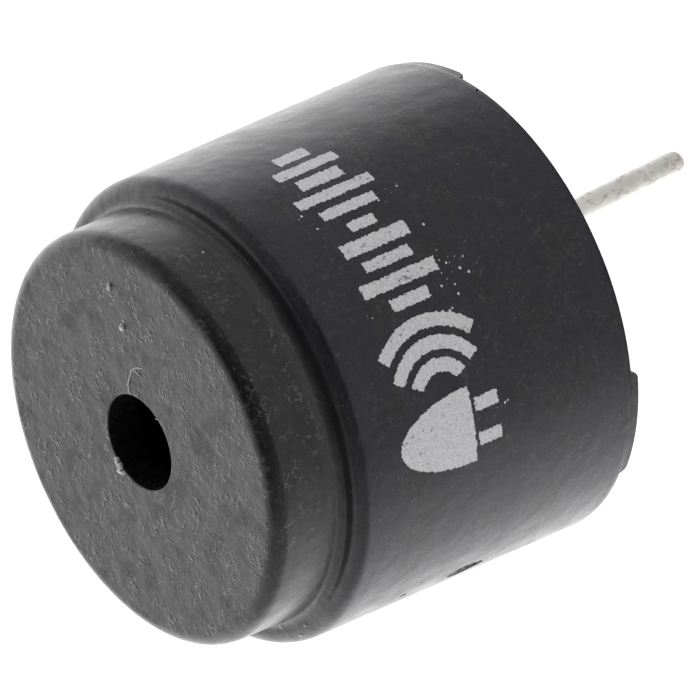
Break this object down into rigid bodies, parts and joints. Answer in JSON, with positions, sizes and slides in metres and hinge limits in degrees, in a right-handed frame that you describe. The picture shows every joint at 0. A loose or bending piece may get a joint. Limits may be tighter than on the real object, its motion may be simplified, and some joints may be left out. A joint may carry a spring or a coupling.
{
  "type": "magnetic buzzer",
  "caption": "Round sealed magnetic buzzer for a circuit board: stepped black case, sound port in the face, short stand-offs and straight wire pins.",
  "frame": {"origin": "centre of the plane of the stand-offs, which rest on the circuit board, midway between the pins", "axes": "+Z along the case's axis towards the sound port; +X towards the first pin"},
  "size_m": [0.016, 0.016, 0.0208],
  "materials": {
    "case_plastic": "fine matt moulding texture with pale flecks",
    "print_ink": "matt pad-printed ink with ragged edges",
    "potting_epoxy": "poured, slightly uneven",
    "tinned_wire": "dull dipped tin",
    "spring_steel": "rolled, satin",
    "soft_iron": "zinc plated",
    "ferrite": "sintered, matt",
    "natural_nylon": "moulded, natural",
    "enamelled_copper": "enamelled wire",
    "solder_tin": "solder, satin",
    "phenolic_board": "paper phenolic",
    "transistor_body": "moulded",
    "diode_glass": "tinted glass body with tin caps",
    "chip_ceramic": "glazed chip"
  },
  "bodies": {
    "root": {"housing": "case_plastic", "diaphragm": "spring_steel", "diaphragm_weight": "spring_steel", "support_ring": "natural_nylon", "ring_magnet": "ferrite", "yoke_plate": "soft_iron", "pole": "soft_iron", "bobbin": "natural_nylon", "drive_winding": "enamelled_copper", "sense_winding": "enamelled_copper", "lead_drive": "enamelled_copper", "lead_common": "enamelled_copper", "lead_sense": "enamelled_copper", "lead_joints": "solder_tin", "driver_board": "phenolic_board", "transistor": "transistor_body", "flyback_diode": "diode_glass", "base_resistor": "chip_ceramic", "sense_resistor": "chip_ceramic", "solder_plus": "solder_tin", "solder_minus": "solder_tin", "pin_plus": "tinned_wire", "pin_minus": "tinned_wire", "potting": "potting_epoxy"}
  },
  "joints": []
}
